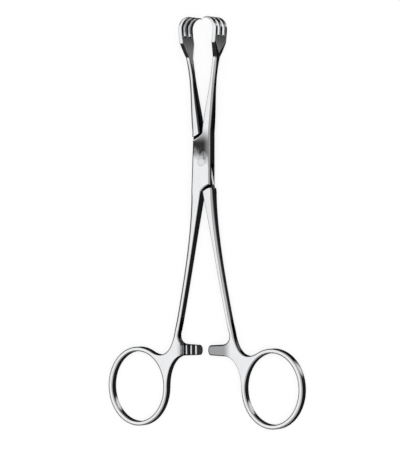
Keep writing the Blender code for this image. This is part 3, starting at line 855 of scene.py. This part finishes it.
# %% Places on the jaws
def palm_places(spot, start, widening):
    """The dull shield on the broad face of a palm, its colour darkened as painted shade, and more painted
    shade at its upper end by the prongs.
    """
    reach = times(combine("SUBTRACT", spot["y"], start), widening)
    inside = remap(combine("SUBTRACT", reach, spot["off_plane"]), -0.2, 1.2)
    # Painted shade on the palm, with more at its upper end; its dullness is a real rougher finish.
    palm = times(inside, region(spot, ("y", SLOT_FLOOR_Y + 1.2, SLOT_FLOOR_Y + 0.2), SIDE_ON))
    return {"palm": palm, "palm_top_shade": times(palm, region(spot, ("y", PALM_Y + 2.0, SLOT_FLOOR_Y)))}


def flank_places(spot):
    """Painted shade on the long flanks of the upper shanks and on the narrow sloping rims of the fans."""
    fan_end = PALM_Y + FAN_LENGTH
    # Painted shade: the flanks and the rims of the fans are darkened.
    flank = region(spot, ("y", CROTCH_Y, CROTCH_Y + 2.0), ("y", PALM_Y - 3.0, PALM_Y - 7.0), SIDE_ON)
    fan_rim_shade = region(spot, ("y", PALM_Y - 0.8, PALM_Y + 0.4), ("y", fan_end + 0.4, fan_end - 0.2),
                     ("sideways", 0.10, 0.30), ("sideways", 0.985, 0.95))
    return {"flank": flank, "fan_rim_shade": fan_rim_shade}


def hook_places(spot, kind):
    """Painted shade on the backs of the hooks. The tongue half's tips and rear hooks get painted shade all
    round.
    """
    across = combine("DIVIDE", combine("SUBTRACT", spot["off_axis"], HOOK_X - HOOK_REACH), HOOK_REACH)
    along = combine("DIVIDE", combine("SUBTRACT", spot["y"], HOOK_Y), HOOK_RISE)
    bend = combine("ADD", times(across, across), times(along, along))
    # Painted shade: the backs and the outer curves of the hooks are darkened.
    dark = [region(spot, ("y", HOOK_Y + 0.5, HOOK_Y + 2.0), ("endways", 0.20, 0.55)),
            times(remap(bend, 1.04, 1.15), region(spot, ("y", HOOK_Y + 1.2, HOOK_Y + 3.0)))]
    if kind == "tongue":
        dark.append(region(spot, ("y", HOOK_Y + 2.0, HOOK_Y + 4.5), ("off_axis", 8.0, 4.5)))
        dark.append(times(REAR_HOOK_SHADE, region(spot, ("z", HALF_LOCK + 3.0, HALF_LOCK + 1.5),
                                             ("y", SLOT_FLOOR_Y + 0.8, SLOT_FLOOR_Y + 3.5))))
    return {"hooks": combine("MAXIMUM", *dark)}


print(f"the palms run from y {PALM_Y} to {SLOT_FLOOR_Y}, the hooks bend from y {HOOK_Y}")

# %% [markdown]
# ## The satin finish itself
# The tables say what each place does to the steel: how much of its brightness it keeps, which
# is painted shade, and whether it is dull, so rougher and less of a mirror. The bevel under
# the box's mouth gets a painted highlight. Noise moves the roughness a little from place to
# place, and two very small bumps, of waves and of belt lines, tilt the surface.

# %% Satin finish of the forgings
# Painted shade: each share below darkens the colour of a place to stand for the shade it shows.
KEPT_BRIGHTNESS = {"arm": 0.44, "palm": 0.32, "arm_rim_shade": 0.20, "palm_top_shade": 0.42, "crook_shade": 0.06,
                   "hooks": 0.12, "lock_head_shade": 0.04, "flank": 0.35, "fan_rim_shade": 0.10, "shank_bevel_shade": 0.10}
DULL_PLACES = ("palm", "tongue_edge", "mouth_bevel_highlight")
# The first of these is the grey of a painted highlight on the mouth bevel, and the second sets how much
# painted shade the tongue half's rear hooks get.
MOUTH_HIGHLIGHT_GREY, REAR_HOOK_SHADE, SATIN_EDGE = 0.9, 0.55, 0.12
BELT_LINES, HAND_WAVES, CLOUDS = (9.0, 0.22, 9.0), (0.16, 0.07, 0.16), (0.5, 0.35, 0.5)
BELT_BUMP, WAVE_BUMP = (0.012, 0.5), (0.30, 0.25)
BELT_ROUGH, CLOUD_ROUGH = (0.12, 0.19), (-0.015, 0.015)
DULL_ROUGH, ARM_ROUGH, WORN_ROUGH, DULL_MATT = 0.25, 0.08, -0.05, 0.75
CLOUD_SHADE, WORN_SHADE = 0.7, 0.25
SHIELDS = {"box": (PALM_Y + 1.8, 0.9), "tongue": (PALM_Y - 4.0, 0.5)}


def satin_steel(name, kind, dark, bright):
    material, tree, shader, place = new_steel(name)
    spot = whereabouts(tree, place)
    belt_lines, hand_waves = noise(place, BELT_LINES, 4.0), noise(place, HAND_WAVES, 1.0)
    cloudy = noise(place, CLOUDS)
    rounded, worn = worn_edges(tree, SATIN_EDGE)
    places = {**handle_places(spot), **palm_places(spot, *SHIELDS[kind]), **flank_places(spot),
              **hook_places(spot, kind)}
    places.update(box_places(spot, cloudy) if kind == "box" else tongue_places(spot))
    dull = combine("MAXIMUM", *(places[key] for key in DULL_PLACES if key in places))
    rough = combine("ADD", spread(belt_lines, *BELT_ROUGH), spread(cloudy, *CLOUD_ROUGH),
                    times(dull, DULL_ROUGH), times(places["arm"], ARM_ROUGH), times(worn, WORN_ROUGH))
    shade = combine("ADD", times(cloudy, CLOUD_SHADE), times(worn, WORN_SHADE))
    colour = blend((*dark, 1.0), (*bright, 1.0), shade)
    # Painted shade: each place darkens the colour by its share.
    for key, share in KEPT_BRIGHTNESS.items():
        if key in places:
            colour = darken(colour, places[key], share)
    # Painted highlight on the bevel under the box's mouth.
    if kind == "box":
        colour = blend(colour, grey(MOUTH_HIGHLIGHT_GREY), places["mouth_bevel_highlight"])
    feed(shader, Base_Color=colour, Roughness=rough,
         Metallic=combine("SUBTRACT", 1.0, times(dull, DULL_MATT)),
         Normal=bump(belt_lines, *BELT_BUMP, bump(hand_waves, *WAVE_BUMP, rounded)))
    print(name, "has", len(places), "places with a finish of their own")
    return material


box_steel = satin_steel("satin_steel_box_half", "box", (0.62, 0.625, 0.635), (0.74, 0.745, 0.755))
tongue_steel = satin_steel("satin_steel_tongue_half", "tongue", (0.61, 0.615, 0.63), (0.73, 0.735, 0.75))

# %% [markdown]
# ## Milled steel and the rivet
# A milling cutter leaves close, straight marks across its path, and the satin belt never
# reaches into the teeth or the slot, so the milled finish is rougher. Its near-black colour
# is painted shade, for the slot, the cheeks and the teeth. The crests of the teeth, worn by
# the other arm, are lifted back to pale grey, which is part wear and part painted highlight;
# the wall of the first step is lifted too, as painted light. An Ambient Occlusion node
# paints more shade into what lies deep, and the ends of the teeth get painted shade as
# well. The rivet is faced off in place, and a faced end keeps faint circles about its
# middle. Both patterns are wave textures: bands for the milling and rings for the facing,
# with a little noise in them.

# %% Milled and faced finishes
TOOLED_EDGE, TOOLED_CLOUDS = 0.10, (0.8, 0.8, 0.8)
MARKS_WANDER, MARKS_BUMP, MARKS_ROUGH, MARKS_CLOUDY = 0.8, (0.01, 0.35), (-0.04, 0.05), (-0.03, 0.03)
# The wall's paleness is painted light, and the two darkening shares on the next line are painted shade.
CLOUD_GAIN, WORN_GAIN, WALL_LIGHT, WALL_MATT = 0.05, 0.4, 0.9, 0.8
DEEP, IN_THE_OPEN, DEEP_SHADE, ENDS_SHADE = 2.5, (0.95, 0.45), 0.06, 0.12


def tooled_steel(name, marks, per_mm, dark, bright, smooth, crests):
    """Steel with tool marks. Crests is how far the tops of the teeth are lifted to the bright grey, part
    wear and part painted highlight.
    """
    material, tree, shader, place = new_steel(name)
    texture = add(tree, "ShaderNodeTexWave", **marks)
    feed(texture, Vector=place, Scale=per_mm, Distortion=MARKS_WANDER, Detail=2.0)
    lines, cloudy = texture.outputs["Fac"], noise(place, TOOLED_CLOUDS)
    rounded, worn = worn_edges(tree, TOOLED_EDGE)
    spot = whereabouts(tree, place)
    spot["off_arm"] = off(spot["y"], ARM_Y)
    at_ratchet = ("y", HANDLE_END_Y + 2.0, HANDLE_END_Y)
    # Painted light: the wall of the first step is lifted to pale grey and made matt.
    step_wall_light = region(spot, ("sideways", 0.35, 0.80), at_ratchet)
    # Painted shade: the ends of the teeth, at the arm's top and bottom, are darkened.
    tooth_end_shade = region(spot, ("off_arm", 1.7, 2.5), at_ratchet)
    # Part wear, part painted highlight: the crests of the teeth are lifted to the bright grey.
    crest_wear_and_highlight = times(region(spot, ("off_plane", 0.26, 0.15)), crests)
    shade = combine("ADD", times(cloudy, CLOUD_GAIN), times(worn, WORN_GAIN))
    bright_share = combine("MAXIMUM", shade, crest_wear_and_highlight, times(step_wall_light, WALL_LIGHT))
    open_air = add(tree, "ShaderNodeAmbientOcclusion", samples=8)
    feed(open_air, Distance=DEEP * TO_METRES)
    colour = blend((*dark, 1.0), (*bright, 1.0), bright_share)
    # Painted shade: what lies deep, found by Ambient Occlusion, is darkened.
    colour = darken(colour, remap(open_air.outputs["AO"], *IN_THE_OPEN), DEEP_SHADE)
    low, high = (smooth + change for change in MARKS_ROUGH)
    feed(shader, Base_Color=darken(colour, tooth_end_shade, ENDS_SHADE),
         Roughness=combine("ADD", spread(lines, low, high, 0.0, 1.0), spread(cloudy, *MARKS_CLOUDY)),
         Metallic=combine("SUBTRACT", 1.0, times(step_wall_light, WALL_MATT)),
         Normal=bump(lines, *MARKS_BUMP, rounded))
    return material


# Painted shade: the milled steel's near-black grey stands for the shade in the slot, the cheeks and the
# teeth.
milled_steel_painted_shade = tooled_steel("milled_steel_painted_shade", {"wave_type": "BANDS", "bands_direction": "Y"}, 2.2,
                            (0.015, 0.015, 0.016), (0.58, 0.585, 0.595), 0.20, 1.0)
rivet_steel = tooled_steel("faced_steel_rivet", {"wave_type": "RINGS", "rings_direction": "Z"}, 3.0,
                           (0.58, 0.58, 0.59), (0.78, 0.78, 0.79), 0.18, 0.0)
print("tooled steels:", milled_steel_painted_shade.name, rivet_steel.name)

# %% [markdown]
# ## Cutting the two halves
# Now the blanks meet the cutters. The prongs are joined on, and everything else is taken
# away. The Boolean modifiers work in millimetres, where the numbers are large enough to be
# exact, and the result is written back as an ordinary mesh in metres. Faces that meet at
# more than thirty degrees keep a crisp edge, and all others are shaded as one surface.

# %% From shapes to pieces
CRISP = math.radians(30)


def set_down(name, data):
    """Put a mesh, a lamp or a camera into the scene."""
    placed = bpy.data.objects.new(name, data)
    bpy.context.scene.collection.objects.link(placed)
    return placed


def raw_object(name, solid, material, mirror=False):
    """A mesh in millimetres, ready to be cut or to cut."""
    verts, faces = solid
    mesh = bpy.data.meshes.new(name)
    mesh.from_pydata([(-x if mirror else x, y, z) for x, y, z in verts], [], [tuple(f) for f in faces])
    tool = bmesh.new()
    tool.from_mesh(mesh)
    bmesh.ops.recalc_face_normals(tool, faces=tool.faces)
    tool.to_mesh(mesh)
    tool.free()
    mesh.materials.append(material)
    return set_down(name, mesh)


def cut(piece, operation, tools):
    """Apply one Boolean for each tool, and keep the result as a plain mesh."""
    for tool in tools:
        change = piece.modifiers.new(tool.name, "BOOLEAN")
        change.operation, change.solver, change.object = operation, "EXACT", tool
        change.material_mode = "TRANSFER"
    bpy.context.view_layer.update()
    result = bpy.data.meshes.new_from_object(piece.evaluated_get(bpy.context.evaluated_depsgraph_get()))
    piece.modifiers.clear()
    piece.data = result
    for tool in tools:
        bpy.data.objects.remove(tool, do_unlink=True)


def finish_piece(piece):
    """Move a piece from millimetres about its middle plane to metres in the frame."""
    piece.data.transform(Matrix.Scale(TO_METRES, 4) @ Matrix.Translation((0.0, 0.0, HALF_LOCK)))
    piece.data.shade_smooth()
    piece.data.set_sharp_from_angle(angle=CRISP)
    print(f"{piece.name}: {len(piece.data.polygons)} faces, materials "
          f"{[material.name for material in piece.data.materials]}")


# %% Forge a half
def forge_half(name, kind, tip_x, mirror, steel):
    """The blank with its prongs joined on, and its ratchet arm and prong floors cut."""
    def shaped(part, solid, material=steel):
        return raw_object(f"{name}_{part}", solid, material, mirror)
    half = raw_object(name, blank(kind, tip_x), steel, mirror)
    heights = tine_heights()
    cut(half, "DIFFERENCE", [shaped(f"prong_floor_{number}", prong_floor(low, high))
                             for number, (low, high) in enumerate(zip(heights[:-1], heights[1:]), 1)])
    cut(half, "UNION", [shaped(f"prong_{number}", tine(height)) for number, height in enumerate(heights, 1)])
    cut(half, "DIFFERENCE", [shaped("ratchet", ratchet(tip_x, kind == "box"), milled_steel_painted_shade)])
    return half


box_half = forge_half("box_half_polished", "box", BOX_ARM_TIP_X, True, box_steel)
cut(box_half, "DIFFERENCE", [raw_object("slot_cutter", lock_slot(), milled_steel_painted_shade),
                             raw_object("box_hole_cutter", pin_hole(PIN_FIT), milled_steel_painted_shade)])
finish_piece(box_half)

tongue_half = forge_half("tongue_half_polished", "tongue", TONGUE_ARM_TIP_X, False, tongue_steel)
cut(tongue_half, "DIFFERENCE", [raw_object("front_cheek_cutter", cheeks(1), milled_steel_painted_shade),
                                raw_object("back_cheek_cutter", cheeks(-1), milled_steel_painted_shade),
                                raw_object("tongue_hole_cutter", pin_hole(2 * PIN_FIT), milled_steel_painted_shade)])
finish_piece(tongue_half)

rivet = raw_object("rivet_faced", turned(pin_profile(0.0)), rivet_steel)
finish_piece(rivet)

# %% [markdown]
# ## Hanging the pieces on the frame
# Each fine piece stands for one node of the frame, whose own mesh is hidden, and rides on
# the body that the node belongs to, so it swings with it.

# %% Pieces on the frame
for piece, node, body in ((box_half, "box_half", "box_side"), (rivet, "lock_pin", "box_side"),
                          (tongue_half, "tongue_half", "tongue_side")):
    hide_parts(node)
    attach(piece, body)
    print(piece.name, "stands for", node, "and rides on", body)

# %% [markdown]
# ## The table
# The forceps rest on the far ends of their rings and on the heels of the two fans, so the
# table is a pale sheet that touches both, about a degree away from level in the frame. Its
# faint mottling keeps it from being a flat colour. Mirrored steel would show this white
# sheet on every flank, where the photograph has black, so the table is left out of mirror
# reflections, while it still takes the light and the shadow of the instrument. Most of what
# the camera sees of it is a glow of its own, mixed in through Is Camera Ray, so the ground
# turns white without any more light on the steel.

# %% Table
low = Vector(cad_box[0])
RING_BOTTOM = (HALF_LOCK - HANDLE_THICK / 2) * TO_METRES
RING_END_Y = (RING_Y - RING_OPEN_Y - RING_LIMB / 2) * TO_METRES
HEEL_Y = (PALM_Y + FAN_LENGTH) * TO_METRES
TABLE_SIZE, TABLE_GAP = 6.0, 0.00005
table_slope = math.atan2(low.z - RING_BOTTOM, HEEL_Y - RING_END_Y)

tool = bmesh.new()
bmesh.ops.create_grid(tool, x_segments=8, y_segments=8, size=TABLE_SIZE / 2)
table_mesh = bpy.data.meshes.new("table_top")
tool.to_mesh(table_mesh)
tool.free()
table = set_down("table_top", table_mesh)
table.location = (0.0, HEEL_Y, low.z - TABLE_GAP)
table.rotation_euler = (table_slope, 0.0, 0.0)
table.visible_glossy = False
print(f"the table leans by {math.degrees(table_slope):.2f} degrees")

# %% Pale paper
GLOW = 0.8
PAPER_GREYS = (0.93, 0.96)
MOTTLE = (90.0, 90.0, 90.0)

paper = bpy.data.materials.new("pale_paper")
paper.use_nodes = True
sheet = paper.node_tree
matt = sheet.nodes["Principled BSDF"]
mottle = noise(add(sheet, "ShaderNodeTexCoord").outputs["Object"], MOTTLE, 4.0)
feed(matt, Base_Color=blend(*(grey(level) for level in PAPER_GREYS), mottle),
     Roughness=0.9, Specular_IOR_Level=0.1)
own_light = add(sheet, "ShaderNodeEmission")
feed(own_light, Color=grey(1.0))
seen = times(add(sheet, "ShaderNodeLightPath").outputs["Is Camera Ray"], GLOW)
both = add(sheet, "ShaderNodeMixShader")
feed(both, Fac=seen, _1=matt.outputs["BSDF"], _2=own_light.outputs["Emission"])
feed(sheet.nodes["Material Output"], Surface=both.outputs["Shader"])
table_mesh.materials.append(paper)
print("the paper's greys:", PAPER_GREYS, "and its glow for the camera:", GLOW)

# %% [markdown]
# ## The light
# Polished steel has hardly any colour of its own: it shows the room. So the room is drawn
# first, as a world of soft patches on black. A front face mirrors the large soft box, above
# and to the left, and turns nearly white. A right-hand flank mirrors the dark floor of the
# room and turns black, which draws the black line down every shank, and a wide glow on the
# right keeps the rims between the two grey. The end walls, two panels and a dark corner put
# the streaks round the rings, and a low card whitens the edge of the tongue. A broad, soft
# sun fills the table without showing in the steel.

# %% World: a direction, the angles where a patch starts and ends to fade, and its strength
SOFT_BOX = ((-0.41, 0.03, 0.91), 20, 29, 0.90)
RIGHT_GLOW = ((0.34, 0.0, 0.94), 10, 115, 0.42)
LEFT_WALL = ((-1.0, 0.0, -0.17), 15, 40, 0.13)
LOW_CARD = ((0.322, 0.382, -0.875), 7, 12.5, 0.95)
FAR_PANEL = ((0.55, 0.65, 0.53), 20, 48, 0.45)
NEAR_PANEL = ((0.55, -0.65, 0.53), 20, 48, 0.45)
DARK_CORNER = ((-0.485, 0.86, 0.1), 22, 40, 0.0, 1.0)
END_WALLS, EVERYWHERE = 0.42, 0.015

world = bpy.data.worlds.new("studio_room")
bpy.context.scene.world = world
world.use_nodes = True
room = world.node_tree
room.nodes.clear()
look = add(room, "ShaderNodeTexCoord").outputs["Generated"]
heading = add(room, "ShaderNodeSeparateXYZ")
feed(heading, Vector=look)
aspect = {"height": heading.outputs["Z"], "endways": off(heading.outputs["Y"])}


def patch(direction, inner, outer, strength, around=0.0):
    """A soft patch of the room: full up to the inner angle, and gone at the outer one."""
    facing = add(room, "ShaderNodeVectorMath", operation="DOT_PRODUCT")
    feed(facing, _0=look, _1=tuple(Vector(direction).normalized()))
    gone, full = (math.cos(math.radians(angle)) for angle in (outer, inner))
    return remap(facing.outputs["Value"], gone, full, around, strength)


middle = region(aspect, ("endways", 0.70, 0.35))
walls = region(aspect, ("height", -0.60, -0.35), ("height", 0.45, 0.25))
ends = times(walls, combine("SUBTRACT", 1.0, middle), patch(*DARK_CORNER), END_WALLS)
patches = [patch(*one) for one in (SOFT_BOX, LEFT_WALL, LOW_CARD, FAR_PANEL, NEAR_PANEL)]
backdrop = add(room, "ShaderNodeBackground")
feed(backdrop, Color=grey(1.0), Strength=combine(
    "ADD", times(patch(*RIGHT_GLOW), middle), *patches, ends, EVERYWHERE))
feed(add(room, "ShaderNodeOutputWorld"), Surface=backdrop.outputs["Background"])
print("room drawn with", len(room.nodes), "nodes")

# %% Sun
SUN_STRENGTH, SUN_WIDTH, SUN_TILT = 2.0, math.radians(50), math.radians(27)

sun_light = bpy.data.lights.new("broad_sun", "SUN")
sun_light.energy, sun_light.angle = SUN_STRENGTH, SUN_WIDTH
sun = set_down("broad_sun", sun_light)
sun.rotation_euler = (0.0, SUN_TILT, 0.0)
sun.visible_glossy = False
print("sun strength", SUN_STRENGTH)

# %% [markdown]
# ## The camera
# The photograph was taken from far away, square to the length of the forceps and about
# thirty degrees round to their right, which is why every right-hand flank can be seen. A
# long lens at that distance gives the same slight perspective. Read from right to left, the
# camera is drawn back, rolled, turned to the right and set at the point it looks at.

# %% Camera
VIEW_ANGLE = math.radians(29.13)
VIEW_ROLL = math.radians(0.47)
VIEW_DISTANCE = 1.435
PIXELS_PER_METRE = 2065.7
PICTURE_HEIGHT = 450
SENSOR = 36.0
aim = Vector((-0.00239, -0.03028, HALF_LOCK * TO_METRES))

lens = bpy.data.cameras.new("studio_camera")
lens.sensor_fit = "VERTICAL"
lens.sensor_height = SENSOR
lens.lens = SENSOR * PIXELS_PER_METRE * VIEW_DISTANCE / PICTURE_HEIGHT
lens.clip_start, lens.clip_end = 0.05, 20.0
camera = set_down("studio_camera", lens)
camera.matrix_world = (Matrix.Translation(aim) @ Matrix.Rotation(VIEW_ANGLE, 4, "Y")
                       @ Matrix.Rotation(-VIEW_ROLL, 4, "Z")
                       @ Matrix.Translation((0.0, 0.0, VIEW_DISTANCE)))
bpy.context.scene.camera = camera
bpy.context.scene.view_settings.view_transform = "Standard"
print(f"lens {lens.lens:.0f} mm at {VIEW_DISTANCE} m")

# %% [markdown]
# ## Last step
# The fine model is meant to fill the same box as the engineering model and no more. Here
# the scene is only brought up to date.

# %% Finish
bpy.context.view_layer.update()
